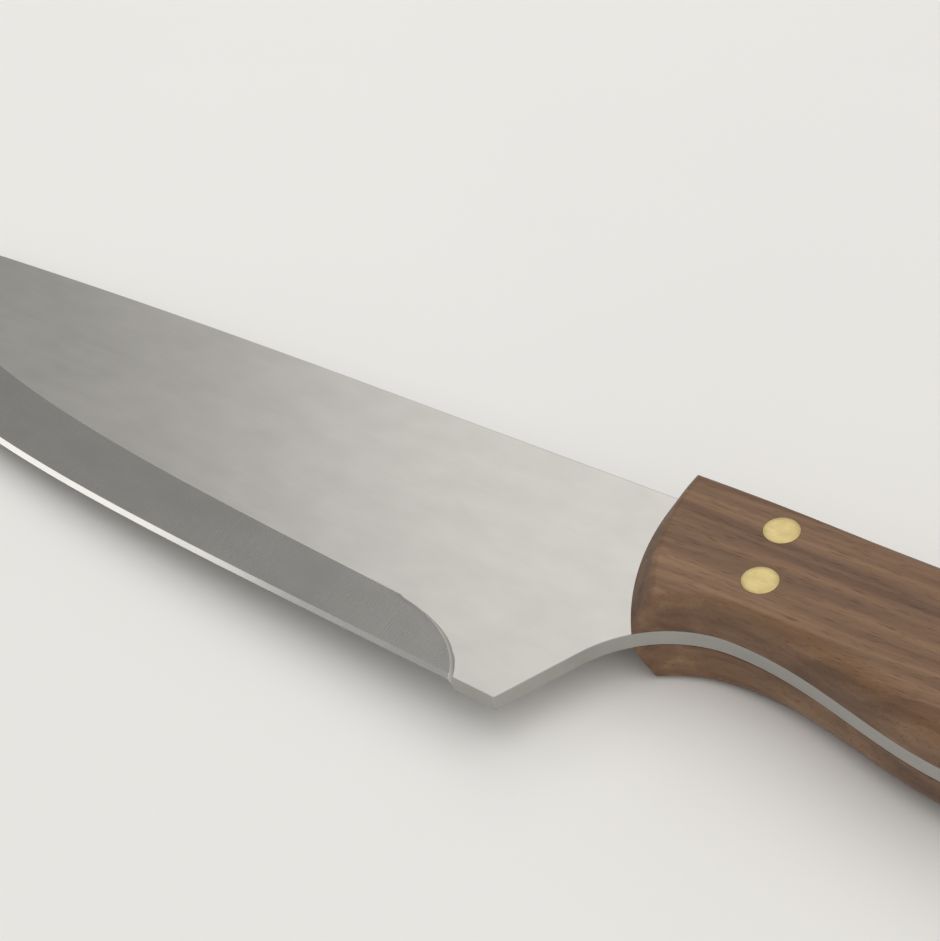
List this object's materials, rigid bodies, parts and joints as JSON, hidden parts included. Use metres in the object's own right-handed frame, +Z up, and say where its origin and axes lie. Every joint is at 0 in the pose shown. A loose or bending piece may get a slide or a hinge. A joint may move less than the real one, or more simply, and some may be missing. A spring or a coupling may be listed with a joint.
{
  "type": "barbecue knife",
  "caption": "Full-tang barbecue knife: a broad, pointed blade with a ground bevel and a curved finger notch, and rounded wooden handle scales held by flush brass pins.",
  "frame": {"origin": "under the middle of the knife's box, in the plane that the lower scale lies on", "axes": "+X along the knife to the butt, so the tip points to -X; +Y to the spine, so the cutting edge faces -Y; +Z up through the thickness"},
  "size_m": [0.325, 0.0526, 0.0192],
  "materials": {
    "satin_steel": "satin, with a finer ground bevel and a bright sharpened edge",
    "oiled_walnut": "oiled, half matt, grain along the handle",
    "brass": "sanded flush, satin"
  },
  "bodies": {
    "root": {"blade_and_tang": "satin_steel", "upper_scale": "oiled_walnut", "lower_scale": "oiled_walnut", "front_back_pin": "brass", "front_belly_pin": "brass", "rear_back_pin": "brass", "rear_belly_pin": "brass"}
  },
  "joints": []
}
